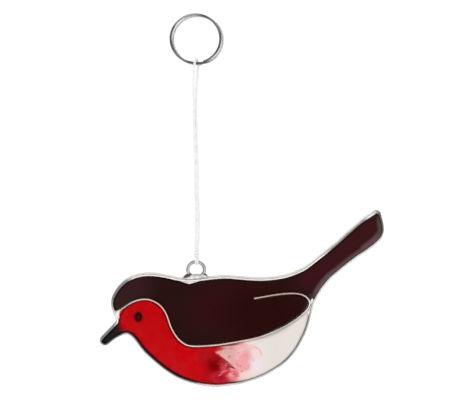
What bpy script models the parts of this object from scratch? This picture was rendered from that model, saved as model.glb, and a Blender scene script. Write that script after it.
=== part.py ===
"""Bird-shaped suncatcher: a bent metal outline and divider filled with two coloured resin panels.

Metres, +Z up. The front faces -Y and the tail points to +X. The origin is the hang point: the
top of the hole through the split ring. The cord loop, its knot and the eyelet follow below it,
and the bird hangs from the eyelet.
"""

import math

import bmesh
import bpy
from mathutils import Vector
from mathutils.geometry import delaunay_2d_cdt

# Bird
BIRD_LENGTH = 0.140
STRIP_THICKNESS = 0.00095
STRIP_DEPTH = 0.0040
PIECE_GAP = 0.0003
SOLDER_BITE = STRIP_THICKNESS / 3
SHARPEST_MITRE = 0.4
ROUND_END_STEPS = 6
CURVE_TOLERANCE = 0.00004
SAME_POINT = 1e-7
WELD = 1e-6

# Resin, measured from the strip's edges
RESIN_FRONT_RECESS = 0.0002
RESIN_BACK_RECESS = 0.0004
RESIN_EDGE_DROP = 0.0006
RESIN_EDGE_WIDTH = 0.0018
RESIN_EDGE_ROWS = (0.3, 1.0)
RESIN_MESH_SIZE = 0.008
RESIN_MESH_CLEARANCE = 0.0029
RESIN_SHARP_ANGLE = math.radians(50)

# Eyelet and the solder pad it stands on
EYELET_DIAMETER = 0.0098
EYELET_WIRE = 0.0016
EYELET_SEGMENTS = 36
EYELET_WIRE_SEGMENTS = 10
EYELET_HOLE_BELOW_CENTRE = 0.0023
PAD_HEIGHT = 0.0021
PAD_SLOPE = 0.0022
PAD_SIDE_COVER = 0.0006

# Split ring
RING_DIAMETER = 0.0254
RING_WIRE_WIDTH = 0.0011
RING_WIRE_DEPTH = 0.0011
RING_TURN_GAP = 0.0003
RING_REAR_SHIFT_X = 0.0012
RING_REAR_DROP = 0.0008
RING_CENTRE_X = -0.0002
RING_START_ANGLE = math.radians(-72)
RING_SWEEP = math.radians(712)
RING_CROSSING = math.radians(50)
RING_STEPS = 96

# Cord loop
CORD_DIAMETER = 0.0011
CORD_POINT_SPACING = 0.0027
CORD_SECTION_STEPS = 2
KNOT_X = 0.0002
KNOT_TOP = -0.1175
KNOT_LENGTH = 0.0050
KNOT_DIAMETER = 0.0028
KNOT_END_SHARE = 0.82
KNOT_WRAPS = 3
KNOT_WRAP_ROWS = 6
KNOT_GROOVE = 0.10
KNOT_SEGMENTS = 14
KNOT_CLEARANCE = 0.0005
TIE_START = math.radians(20)
TIE_SWEEP = math.radians(220)
TIE_STEPS = 12

# The bird's forms, in hundredths of its length, from the point under the eyelet.
# Forehead, over the crown and along the back to the tip of the tail
CROWN_AND_BACK = [
    (-27.9, -16.0),
    (-29.1, -12.8),
    (-29.9, -10.2),
    (-29.7, -8.0),
    (-28.4, -5.2),
    (-26.7, -2.9),
    (-24.9, -1.3),
    (-23.2, -0.3),
    (-20.7, 0.7),
    (-17.9, 1.2),
    (-15.4, 1.2),
    (-12.6, 0.9),
    (-9.1, 0.2),
    (-6.3, -0.5),
    (-2.8, -0.8),
    (0.7, -0.6),
    (5.6, 0.0),
    (9.1, 0.3),
    (12.6, 0.2),
    (19.6, -0.4),
    (25.0, -0.4),
    (31.2, 0.5),
    (36.5, 2.5),
    (40.0, 4.8),
    (48.8, 12.1),
    (54.0, 17.0),
    (59.3, 21.6),
    (63.1, 24.2),
]
# Squared end of the tail, along its underside, round the belly and breast and round the beak
TAIL_TO_BEAK = [
    (64.7, 23.3),
    (65.1, 21.5),
    (65.9, 18.0),
    (65.5, 15.3),
    (63.9, 12.7),
    (59.3, 9.1),
    (56.0, 6.9),
    (49.1, 1.2),
    (46.2, -1.8),
    (44.0, -4.8),
    (42.5, -7.4),
    (41.3, -10.0),
    (39.8, -16.3),
    (38.6, -20.0),
    (36.4, -24.6),
    (34.0, -28.2),
    (30.5, -31.8),
    (24.2, -35.8),
    (17.2, -38.4),
    (10.2, -39.6),
    (5.5, -39.8),
    (-0.4, -38.9),
    (-3.9, -37.8),
    (-7.4, -36.2),
    (-10.9, -33.9),
    (-14.4, -31.0),
    (-17.4, -28.2),
    (-19.3, -26.1),
    (-21.1, -23.5),
    (-22.5, -21.8),
    (-23.9, -20.8),
    (-25.4, -20.8),
    (-28.4, -22.2),
    (-31.1, -24.4),
    (-32.3, -24.8),
    (-33.3, -24.3),
    (-34.0, -23.3),
    (-33.3, -22.0),
    (-30.2, -18.7),
    (-27.9, -16.0),
]
# Middle of the divider: forehead, over the face, under the wing, round its tip and back along it
DIVIDER = [
    (-26.3, -11.6),
    (-24.6, -10.3),
    (-22.5, -9.0),
    (-20.4, -8.2),
    (-18.2, -7.9),
    (-16.1, -8.2),
    (-14.0, -9.2),
    (-12.3, -10.6),
    (-10.9, -12.6),
    (-10.0, -14.8),
    (-9.2, -17.4),
    (-8.2, -19.6),
    (-6.9, -21.7),
    (-5.3, -23.4),
    (-3.2, -24.7),
    (-0.7, -25.1),
    (2.8, -25.0),
    (8.4, -24.5),
    (15.4, -23.3),
    (22.5, -21.7),
    (29.5, -18.7),
    (33.7, -16.3),
    (36.5, -14.2),
    (38.4, -12.4),
    (39.6, -10.9),
    (40.0, -9.6),
    (39.8, -8.4),
    (39.0, -7.3),
    (37.9, -6.5),
    (36.3, -6.0),
    (34.0, -5.8),
    (31.2, -5.9),
    (26.7, -6.5),
    (20.7, -7.6),
]
# Solder where the ends of the outline meet, where the divider starts and at the wing's tip
JOINT_SOLDER = [(-6.5, -0.9), (-2.6, -2.3), (2.4, -0.9)]
FOREHEAD_SOLDER = [
    (-29.0, -12.4),
    (-28.7, -13.6),
    (-28.0, -15.9),
    (-27.5, -15.9),
    (-27.3, -14.9),
    (-26.9, -13.6),
    (-26.0, -12.2),
    (-26.2, -11.4),
    (-27.6, -12.2),
]
WING_TIP_SOLDER = [(39.4, -11.4), (39.2, -13.5), (40.3, -14.0), (41.4, -10.0), (41.0, -7.6), (39.8, -9.0)]

# Cord loop: up the left strand from the knot, over the ring's wire and down the right strand
CORD_ROUTE = [
    (-0.00045, 0.0, -0.1172),
    (-0.0003, -0.0001, -0.1140),
    (0.0001, -0.0001, -0.1055),
    (-0.0003, 0.0, -0.0878),
    (-0.0007, -0.0002, -0.0676),
    (-0.0010, -0.0005, -0.0493),
    (-0.0013, -0.0008, -0.0362),
    (-0.0011, -0.0017, -0.0285),
    (-0.0008, -0.0024, -0.0245),
    (-0.0006, -0.0020, -0.0224),
    (-0.0002, -0.0008, -0.0211),
    (0.0003, 0.0008, -0.0214),
    (0.0008, 0.0021, -0.0231),
    (0.0010, 0.0024, -0.0253),
    (0.0009, 0.0017, -0.0290),
    (0.0003, 0.0008, -0.0362),
    (0.0001, 0.0005, -0.0493),
    (0.0006, 0.0002, -0.0676),
    (0.0010, 0.0, -0.0878),
    (0.0014, 0.0001, -0.1055),
    (0.0011, 0.0001, -0.1140),
    (0.00085, 0.0, -0.1172),
]

# Levels worked out from the sizes above
EYELET_CENTRE = KNOT_TOP - KNOT_LENGTH - KNOT_CLEARANCE - EYELET_DIAMETER / 2
PAD_TOP = EYELET_CENTRE - EYELET_HOLE_BELOW_CENTRE
BIRD_TOP = PAD_TOP - PAD_HEIGHT


def catmull(p0, p1, p2, p3, t):
    """A point between p1 and p2 on the smooth curve through all four."""
    return 0.5 * (
        2 * p1 + (p2 - p0) * t + (2 * p0 - 5 * p1 + 4 * p2 - p3) * t**2 + (3 * p1 - p0 - 3 * p2 + p3) * t**3
    )


def smooth(points, tolerance):
    """A smooth open curve through the points, as straight runs within the tolerance of it."""
    ends = [2 * points[0] - points[1]] + points + [2 * points[-1] - points[-2]]
    path = []
    for p0, p1, p2, p3 in zip(ends, ends[1:], ends[2:], ends[3:]):
        sag = (catmull(p0, p1, p2, p3, 0.5) - (p1 + p2) / 2).length
        bend = max(sag, (p2 - p0 + p1 - p3).length / 12)
        pieces = max(1, math.ceil(math.sqrt(bend / tolerance)))
        path += [catmull(p0, p1, p2, p3, i / pieces) for i in range(pieces)]
    return path + [points[-1]]


def in_bird(points):
    return [Vector((u, v)) * BIRD_LENGTH / 100 for u, v in points]


def bird_outline():
    """The outer edge, counterclockwise, moved so that its top under the eyelet is at height BIRD_TOP."""
    top_run = smooth(in_bird(CROWN_AND_BACK), CURVE_TOLERANCE)
    low_run = smooth(in_bird(TAIL_TO_BEAK), CURVE_TOLERANCE)
    left, right = next((a, b) for a, b in zip(top_run, top_run[1:]) if a.x <= 0 < b.x)
    share = -left.x / (right.x - left.x)
    shift = Vector((0, BIRD_TOP - (left.y + (right.y - left.y) * share)))
    clockwise = top_run + low_run[:-1]
    return [p + shift for p in reversed(clockwise)], shift


def offset(points, distance, closed=True):
    """The path moved to its left by the distance, mitred at its corners."""
    moved = []
    count = len(points)
    for i, point in enumerate(points):
        before = points[i - 1] if closed or i > 0 else 2 * point - points[1]
        after = points[(i + 1) % count] if closed or i < count - 1 else 2 * point - points[i - 1]
        first = (point - before).normalized()
        second = (after - point).normalized()
        normal = (first + second).normalized()
        mitre = max(normal.dot(first), SHARPEST_MITRE)
        moved.append(point + Vector((-normal.y, normal.x)) * distance / mitre)
    return moved


def band(path, width, lengthened=0.0):
    """The outline of a strip of this width along the path, with a round far end."""
    back = (path[0] - path[1]).normalized() * lengthened
    path = [path[0] + back] + path[1:]
    left = offset(path, width / 2, closed=False)
    right = offset(path, -width / 2, closed=False)
    spoke = left[-1] - path[-1]
    cap = []
    for i in range(1, ROUND_END_STEPS):
        turn = -math.pi * i / ROUND_END_STEPS
        cos, sin = math.cos(turn), math.sin(turn)
        cap.append(path[-1] + Vector((spoke.x * cos - spoke.y * sin, spoke.x * sin + spoke.y * cos)))
    return counterclockwise(left + cap + right[::-1])


def counterclockwise(loop):
    area = sum(a.cross(b) for a, b in zip(loop, loop[1:] + loop[:1]))
    return loop if area > 0 else loop[::-1]


def region(any_of, within=(), without=()):
    """The flat area in any of the first loops, in all those within and in none without, in triangles."""
    loops = [*any_of, *within, *without]
    points = [p for loop in loops for p in loop]
    faces = []
    for loop in loops:
        start = sum(len(face) for face in faces)
        faces.append(list(range(start, start + len(loop))))
    corners, _, triangles, _, _, inside = delaunay_2d_cdt(points, [], faces, 0, SAME_POINT)
    some = set(range(len(any_of)))
    every = set(range(len(any_of), len(any_of) + len(within)))
    none = set(range(len(any_of) + len(within), len(loops)))
    kept = []
    for triangle, owners in zip(triangles, inside):
        owners = set(owners)
        if owners & some and every <= owners and not owners & none:
            kept.append(triangle)
    return corners, kept


def boundary_loops(triangles):
    """The closed loops of corner numbers round groups of triangles, longest first."""
    directed = {(t[i], t[(i + 1) % 3]) for t in triangles for i in range(3)}
    following = {a: b for a, b in directed if (b, a) not in directed}
    loops = []
    while following:
        start, after = following.popitem()
        loop = [start]
        while after != start:
            loop.append(after)
            after = following.pop(after)
        loops.append(loop)
    return sorted(loops, key=len, reverse=True)


def distance_to(point, loop):
    """How far a point is from the nearest side of a closed loop."""
    nearest = math.inf
    for a, b in zip(loop, loop[1:] + loop[:1]):
        side = b - a
        t = min(1.0, max(0.0, (point - a).dot(side) / side.length_squared))
        nearest = min(nearest, (a + side * t - point).length)
    return nearest


def material(name, colour, roughness, metallic):
    made = bpy.data.materials.new(name)
    made.use_nodes = True
    shader = made.node_tree.nodes["Principled BSDF"]
    shader.inputs["Base Color"].default_value = (*colour, 1.0)
    shader.inputs["Roughness"].default_value = roughness
    shader.inputs["Metallic"].default_value = metallic
    return made


def link(name, data, collection, surface=None):
    obj = bpy.data.objects.new(name, data)
    collection.objects.link(obj)
    if surface:
        data.materials.append(surface)
    return obj


def mesh_object(name, bm, collection, surface=None):
    bmesh.ops.recalc_face_normals(bm, faces=bm.faces[:])
    mesh = bpy.data.meshes.new(name)
    bm.to_mesh(mesh)
    bm.free()
    return link(name, mesh, collection, surface)


def raise_region(name, area, front, back, collection, surface=None):
    """A flat region given depth along Y."""
    corners, triangles = area
    bm = bmesh.new()
    used = {i for triangle in triangles for i in triangle}
    verts = {i: bm.verts.new((corners[i].x, front, corners[i].y)) for i in used}
    faces = [bm.faces.new([verts[i] for i in triangle]) for triangle in triangles]
    grown = bmesh.ops.extrude_face_region(bm, geom=faces)
    moved = [item for item in grown["geom"] if isinstance(item, bmesh.types.BMVert)]
    bmesh.ops.translate(bm, verts=moved, vec=(0, back - front, 0))
    return mesh_object(name, bm, collection, surface)


def add_boolean(obj, other, operation):
    modifier = obj.modifiers.new(f"{operation} {other.name}", "BOOLEAN")
    modifier.operation = operation
    modifier.object = other
    modifier.solver = "EXACT"


def as_helper(obj):
    obj.hide_render = True
    obj.display_type = "WIRE"
    return obj


def mesh_from_curve(obj, name, collection):
    """The curve's tube as a mesh object with its caps welded on."""
    graph = bpy.context.evaluated_depsgraph_get()
    mesh = bpy.data.meshes.new_from_object(obj.evaluated_get(graph))
    bm = bmesh.new()
    bm.from_mesh(mesh)
    bmesh.ops.remove_doubles(bm, verts=bm.verts[:], dist=WELD)
    bmesh.ops.recalc_face_normals(bm, faces=bm.faces[:])
    bm.to_mesh(mesh)
    bm.free()
    made = bpy.data.objects.new(name, mesh)
    made.matrix_world = obj.matrix_world
    collection.objects.link(made)
    bpy.data.objects.remove(obj)
    return made


def tube(name, points, diameter, collection, surface=None):
    curve = bpy.data.curves.new(name, "CURVE")
    curve.dimensions = "3D"
    curve.bevel_depth = diameter / 2
    curve.bevel_resolution = CORD_SECTION_STEPS
    curve.use_fill_caps = True
    spline = curve.splines.new("POLY")
    spline.points.add(len(points) - 1)
    for spot, point in zip(spline.points, points):
        spot.co = (*point, 1.0)
    return link(name, curve, collection, surface)


def evenly(path, spacing):
    """Points at about this spacing along a fine path, ends included."""
    lengths = [(b - a).length for a, b in zip(path, path[1:])]
    count = max(2, round(sum(lengths) / spacing))
    step = sum(lengths) / count
    spots = [path[0]]
    travelled = 0.0
    for a, b, length in zip(path, path[1:], lengths):
        while len(spots) * step <= travelled + length and len(spots) < count:
            spots.append(a.lerp(b, (len(spots) * step - travelled) / length))
        travelled += length
    return spots + [path[-1]]


def make_metalwork(outline, shift, collection, helpers):
    """The bent outline with its solder, and the divider that separates the colours."""
    metal = material("silver_metal", (0.62, 0.60, 0.57), 0.3, 1.0)
    front, back = -STRIP_DEPTH / 2, STRIP_DEPTH / 2
    inner = offset(outline, STRIP_THICKNESS)
    room = offset(outline, STRIP_THICKNESS + PIECE_GAP)
    path = [p + shift for p in smooth(in_bird(DIVIDER), CURVE_TOLERANCE)]
    strip = band(path, STRIP_THICKNESS)
    slot = band(path, STRIP_THICKNESS + 2 * PIECE_GAP, PIECE_GAP)
    solder = []
    for shape in (JOINT_SOLDER, FOREHEAD_SOLDER, WING_TIP_SOLDER):
        solder.append(counterclockwise([p + shift for p in in_bird(shape)]))

    corners, ring = region([outline], without=[inner])
    outline_strip = raise_region("outline_strip", (corners, ring), front, back, collection, metal)
    for number, fill in enumerate(solder):
        piece = region([fill], within=[offset(outline, SOLDER_BITE)], without=[slot])
        helper = raise_region(f"solder_{number}", piece, front + PIECE_GAP, back - PIECE_GAP, helpers)
        add_boolean(outline_strip, as_helper(helper), "UNION")
    add_boolean(outline_strip, make_pad(offset(outline, STRIP_THICKNESS / 2), helpers), "UNION")

    raise_region("divider_strip", region([strip], within=[room]), front, back, collection, metal)
    filled = [offset(fill, -PIECE_GAP) for fill in solder]
    return room, [slot, *filled]


def make_pad(strip_middle, helpers):
    """The solder pad on top of the outline that the eyelet stands on."""
    reach = EYELET_DIAMETER / 2
    profile = [
        Vector((-reach - PAD_SLOPE, BIRD_TOP - PAD_HEIGHT)),
        Vector((reach + PAD_SLOPE, BIRD_TOP - PAD_HEIGHT)),
        Vector((reach + PAD_SLOPE, BIRD_TOP)),
        Vector((reach, PAD_TOP)),
        Vector((-reach, PAD_TOP)),
        Vector((-reach - PAD_SLOPE, BIRD_TOP)),
    ]
    pad = region([profile], without=[strip_middle])
    half_depth = EYELET_WIRE / 2 + PAD_SIDE_COVER
    return as_helper(raise_region("solder_pad", pad, -half_depth, half_depth, helpers))


def make_eyelet(collection, helpers):
    """A ring of round wire, cut off level where it stands on the solder pad."""
    metal = material("eyelet_metal", (0.55, 0.54, 0.52), 0.35, 1.0)
    radius = (EYELET_DIAMETER - EYELET_WIRE) / 2
    bpy.ops.mesh.primitive_torus_add(
        major_segments=EYELET_SEGMENTS,
        minor_segments=EYELET_WIRE_SEGMENTS,
        major_radius=radius,
        minor_radius=EYELET_WIRE / 2,
        location=(0, 0, EYELET_CENTRE),
        rotation=(math.pi / 2, 0, 0),
    )
    eyelet = bpy.context.object
    eyelet.name = "eyelet"
    eyelet.data.materials.append(metal)
    eyelet.data.shade_smooth()
    for owner in eyelet.users_collection:
        owner.objects.unlink(eyelet)
    collection.objects.link(eyelet)

    bm = bmesh.new()
    bmesh.ops.create_cube(bm, size=2 * EYELET_DIAMETER)
    bmesh.ops.translate(bm, verts=bm.verts[:], vec=(0, 0, PAD_TOP + PIECE_GAP - EYELET_DIAMETER))
    add_boolean(eyelet, as_helper(mesh_object("eyelet_foot_cutter", bm, helpers)), "DIFFERENCE")


def make_panels(room, taken, collection):
    """The two resin pours that fill the outline on both sides of the divider."""
    corners, triangles = region([room], without=taken)
    loops = boundary_loops(triangles)[:2]
    loops.sort(key=lambda loop: max(corners[i].y for i in loop))
    colours = {
        "red_white_panel": material("red_white_resin", (0.50, 0.03, 0.03), 0.12, 0.0),
        "brown_panel": material("brown_resin", (0.035, 0.012, 0.012), 0.12, 0.0),
    }
    for (name, surface), loop in zip(colours.items(), loops):
        make_panel(name, [corners[i] for i in loop], collection, surface)


def make_panel(name, loop, collection, surface):
    """A slab whose front rolls down to its edge, with a flat back."""
    points = list(loop)
    for share in RESIN_EDGE_ROWS:
        reach = RESIN_EDGE_WIDTH * share
        row = offset(loop, reach)
        points += [p for p in row if distance_to(p, loop) > reach - CURVE_TOLERANCE]
    low = Vector((min(p.x for p in loop), min(p.y for p in loop)))
    high = Vector((max(p.x for p in loop), max(p.y for p in loop)))
    for i in range(math.ceil((high.x - low.x) / RESIN_MESH_SIZE)):
        for j in range(math.ceil((high.y - low.y) / RESIN_MESH_SIZE)):
            spot = low + Vector((i + 0.5, j + 0.5)) * RESIN_MESH_SIZE
            if distance_to(spot, loop) > RESIN_MESH_CLEARANCE:
                points.append(spot)
    sides = list(range(len(loop)))
    corners, _, triangles, _, _, inside = delaunay_2d_cdt(points, [], [sides], 0, SAME_POINT)
    triangles = [t for t, owners in zip(triangles, inside) if owners]

    face_level = -STRIP_DEPTH / 2 + RESIN_FRONT_RECESS
    back_level = STRIP_DEPTH / 2 - RESIN_BACK_RECESS
    bm = bmesh.new()
    verts = {}
    for i in {i for triangle in triangles for i in triangle}:
        inward = min(1.0, distance_to(corners[i], loop) / RESIN_EDGE_WIDTH)
        rise = math.sqrt(max(0.0, 1 - (1 - inward) ** 2))
        y = face_level + RESIN_EDGE_DROP * (1 - rise)
        verts[i] = bm.verts.new((corners[i].x, y, corners[i].y))
    faces = [bm.faces.new([verts[i] for i in triangle]) for triangle in triangles]
    grown = bmesh.ops.extrude_face_region(bm, geom=faces)["geom"]
    for item in grown:
        if isinstance(item, bmesh.types.BMVert):
            item.co.y = back_level
    bmesh.ops.dissolve_faces(bm, faces=[item for item in grown if isinstance(item, bmesh.types.BMFace)])
    panel = mesh_object(name, bm, collection, surface)
    panel.data.shade_smooth()
    panel.data.set_sharp_from_angle(angle=RESIN_SHARP_ANGLE)


def make_split_ring(collection, helpers):
    """Two turns of flat wire, the rear one lying a little to the right of the front one and lower."""
    metal = material("ring_metal", (0.60, 0.60, 0.60), 0.2, 1.0)
    radius = (RING_DIAMETER - RING_WIRE_WIDTH) / 2
    pitch = RING_WIRE_DEPTH + RING_TURN_GAP
    rear_centre_z = RING_WIRE_WIDTH / 2 - radius
    points = []
    for i in range(RING_STEPS + 1):
        turned = RING_SWEEP * i / RING_STEPS
        angle = RING_START_ANGLE + turned
        crossing = (turned - (RING_SWEEP - RING_CROSSING) / 2) / RING_CROSSING
        t = min(1.0, max(0.0, crossing))
        rear = t * t * (3 - 2 * t)
        centre_x = RING_CENTRE_X + RING_REAR_SHIFT_X * rear
        centre_z = rear_centre_z + RING_REAR_DROP * (1 - rear)
        x = centre_x + radius * math.cos(angle)
        z = centre_z + radius * math.sin(angle)
        points.append((x, -z, pitch * (rear - 0.5)))

    profile = bpy.data.curves.new("ring_wire_profile", "CURVE")
    profile.dimensions = "2D"
    outline = profile.splines.new("POLY")
    corners = [(-1, -1), (1, -1), (1, 1), (-1, 1)]
    outline.points.add(len(corners) - 1)
    for spot, (x, y) in zip(outline.points, corners):
        spot.co = (x * RING_WIRE_WIDTH / 2, y * RING_WIRE_DEPTH / 2, 0, 1)
    outline.use_cyclic_u = True
    profile_object = as_helper(link("ring_wire_profile", profile, helpers))

    wire = tube("ring_wire", points, RING_WIRE_WIDTH, collection, metal)
    wire.data.bevel_mode = "OBJECT"
    wire.data.bevel_object = profile_object
    wire.data.twist_mode = "Z_UP"
    wire.rotation_euler = (-math.pi / 2, 0, 0)
    mesh_from_curve(wire, "split_ring", collection)


def make_cord(collection, helpers):
    """The loop of cord in one length, and the knot that ties it round the eyelet's wire."""
    white = material("white_cord", (0.80, 0.79, 0.76), 0.9, 0.0)
    fine = smooth([Vector(p) for p in CORD_ROUTE], CURVE_TOLERANCE / 10)
    tube("hanging_cord", evenly(fine, CORD_POINT_SPACING), CORD_DIAMETER, collection, white)

    bm = bmesh.new()
    half = KNOT_LENGTH / 2
    rows = KNOT_WRAP_ROWS * KNOT_WRAPS
    profile = [bm.verts.new((0, 0, half))]
    for i in range(rows + 1):
        along = i / rows
        swell = KNOT_END_SHARE + (1 - KNOT_END_SHARE) * math.sqrt(max(0.0, math.sin(math.pi * along)))
        groove = KNOT_GROOVE * (1 + math.cos(2 * math.pi * KNOT_WRAPS * along)) / 2
        profile.append(bm.verts.new((KNOT_DIAMETER / 2 * (swell - groove), 0, half - KNOT_LENGTH * along)))
    profile.append(bm.verts.new((0, 0, -half)))
    for a, b in zip(profile, profile[1:]):
        bm.edges.new((a, b))
    mesh = bpy.data.meshes.new("cord_knot")
    bm.to_mesh(mesh)
    bm.free()
    knot = link("cord_knot", mesh, collection, white)
    knot.location = (KNOT_X, 0, KNOT_TOP - half)
    turned = knot.modifiers.new("turned", "SCREW")
    turned.steps = turned.render_steps = KNOT_SEGMENTS
    turned.use_merge_vertices = True
    turned.merge_threshold = WELD
    turned.use_smooth_shade = True

    wire_centre = EYELET_CENTRE + (EYELET_DIAMETER - EYELET_WIRE) / 2
    reach = (EYELET_WIRE + CORD_DIAMETER) / 2 + PIECE_GAP
    knot_middle = KNOT_TOP - half
    around = []
    for i in range(TIE_STEPS + 1):
        angle = TIE_START - TIE_SWEEP * i / TIE_STEPS
        around.append(Vector((KNOT_X, -reach * math.cos(angle), wire_centre + reach * math.sin(angle))))
    route = [Vector((KNOT_X, 0, knot_middle)), *around, Vector((KNOT_X, 0, knot_middle))]
    route[0].y = -CORD_DIAMETER / 4
    route[-1].y = CORD_DIAMETER / 4
    tie = mesh_from_curve(tube("tie_route", route, CORD_DIAMETER, helpers), "knot_tie", helpers)
    add_boolean(knot, as_helper(tie), "UNION")


def main():
    for obj in list(bpy.data.objects):
        bpy.data.objects.remove(obj)
    collection = bpy.data.collections.new("Suncatcher")
    helpers = bpy.data.collections.new("Suncatcher cutters")
    bpy.context.scene.collection.children.link(collection)
    bpy.context.scene.collection.children.link(helpers)

    outline, shift = bird_outline()
    room, taken = make_metalwork(outline, shift, collection, helpers)
    make_panels(room, taken, collection)
    make_eyelet(collection, helpers)
    make_split_ring(collection, helpers)
    make_cord(collection, helpers)


main()
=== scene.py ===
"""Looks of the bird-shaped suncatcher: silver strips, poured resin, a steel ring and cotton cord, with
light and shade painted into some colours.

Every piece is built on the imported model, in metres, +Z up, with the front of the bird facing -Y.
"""

import math

import bmesh
import bpy
import numpy as np
from mathutils import Matrix, Vector, noise
from mathutils.geometry import delaunay_2d_cdt


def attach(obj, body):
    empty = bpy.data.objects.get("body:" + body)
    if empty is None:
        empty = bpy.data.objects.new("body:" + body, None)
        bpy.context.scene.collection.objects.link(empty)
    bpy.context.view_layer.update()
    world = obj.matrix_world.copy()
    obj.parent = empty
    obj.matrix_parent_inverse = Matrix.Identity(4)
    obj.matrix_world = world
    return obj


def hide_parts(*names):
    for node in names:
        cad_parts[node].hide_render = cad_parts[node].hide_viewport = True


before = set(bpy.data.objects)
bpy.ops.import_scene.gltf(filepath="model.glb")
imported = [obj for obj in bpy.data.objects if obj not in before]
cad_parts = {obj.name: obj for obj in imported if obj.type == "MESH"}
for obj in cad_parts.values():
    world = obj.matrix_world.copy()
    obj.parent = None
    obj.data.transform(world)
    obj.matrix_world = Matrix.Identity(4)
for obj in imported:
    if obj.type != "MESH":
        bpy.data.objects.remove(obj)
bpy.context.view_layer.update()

MM = 0.001
SAME_POINT = 1e-7
WELD_GRID = 1e-6
LEVEL_TOLERANCE = 2e-5

# Camera, at the photograph's viewing angle
CAMERA_ELEVATION = math.radians(14.5)
CAMERA_DISTANCE = 4.0
CAMERA_AIM = Vector((0.0142, 0, -0.0924))
CAMERA_SENSOR = 36.0
CAMERA_REACH = 60.0
IMAGE_WIDTH = 450
METRES_PER_PIXEL = 0.0004912

# Studio
WORLD_STRENGTH = 1.05
FLOOR_LEVEL = -1.75
FLOOR_HALF_SIDE = 30.0
FLOOR_CLOUD_SIZE = 0.5
# Softboxes and cards, all turned towards the camera's aim: name, place, width, height, radiance, and the
# group of pieces that they light (everything where it is None)
LIGHTS = [
    ("key", (-0.5, -1.6, 1.1), 1.2, 0.8, 0.8, None),
    ("table_card", (1.1, -0.4, -0.90), 1.7, 1.5, 1.6, None),
    ("strip_front_card", (0.0, -3.0, -0.87), 3.0, 1.8, 1.25, "strips"),
    ("strip_high_card", (-0.3, -2.2, 1.2), 1.8, 0.7, 0.9, "strips"),
    ("strip_back_card", (0.0, 3.0, 0.60), 4.0, 1.9, 0.75, "strips"),
    ("strip_left_card", (-2.0, -0.8, 0.0), 0.8, 1.6, 0.5, "strips"),
    ("ring_back_card", (0.0, 3.0, 0.60), 4.0, 1.9, 0.80, "rings"),
    ("ring_front_card", (0.3, -2.6, 0.9), 1.8, 1.2, 0.50, "rings"),
]

# Strips
STRIP_THICKNESS = 0.00095
STRIP_DEPTH = 0.0040
STRIP_SPACING = 0.0005
STRIP_LIP_RADIUS = 0.00024
STRIP_CORNER_STEPS = 5
OUTER_CORNER_REACH = 0.00021
STRIP_THICKNESS_WAVER = 0.05
STRIP_LEVEL_WAVER = 0.00005
STRIP_WAVER_LENGTH = 0.009
STRIP_LEVEL_WAVER_SHIFT = Vector((7.3, 0, 0))
STRIP_SOFTENING = 3
STRIP_GRIME = 0.35
DIVIDER_THICKNESS = 0.00072
DIVIDER_WIDTH_TOLERANCE = 0.12
DIVIDER_END_TRIM = 0.0020
DIVIDER_END_REACH = 0.0060
DIVIDER_UNDER_OUTLINE = 0.0005
DIVIDER_TIP_STEPS = 6
DIVIDER_TIP_WIDTH = 0.12
SHARPEST_MITRE = 0.4

# Solder
SOLDER_LEVEL = -0.0017
PAD_LEVEL = -0.0014
SOLDER_VOXEL = 0.00013
FILL_SMOOTHING = 6
PAD_SMOOTHING = 22
SOLDER_OVERLAP = 0.0002
FOOT_LUMP_RADIUS = 0.0013
FOOT_LUMP_SINK = 0.0002
FOOT_LUMP_SUBDIVISIONS = 3
SOLDER_LUMP = 0.00008
SOLDER_LUMP_LENGTH = 0.0014

# Resin, measured from the inner face of the strips
RESIN_BACK_LEVEL = 0.0016
RESIN_FRONT_LEVEL = -0.0018
RESIN_EDGE_DROP = 0.0006
RESIN_BACK_EDGE_DROP = 0.0003
RESIN_EDGE_WIDTH = 0.0018
RESIN_EDGE_ROWS = (0.0, 0.0001, 0.00025, 0.00045, 0.0007, 0.001, 0.0014, 0.0018)
RESIN_ROW_TOLERANCE = 2e-5
RESIN_UNDER_STRIP = 0.00035
RESIN_GRID = 0.0006
RESIN_WAVE = 0.00002
RESIN_WAVE_LENGTH = 0.011
RESIN_SHADE_FADES = (0.0002, 0.0012)
RESIN_SHADE = 0.95
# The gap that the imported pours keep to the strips
RESIN_GAP = 0.0003

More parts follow.
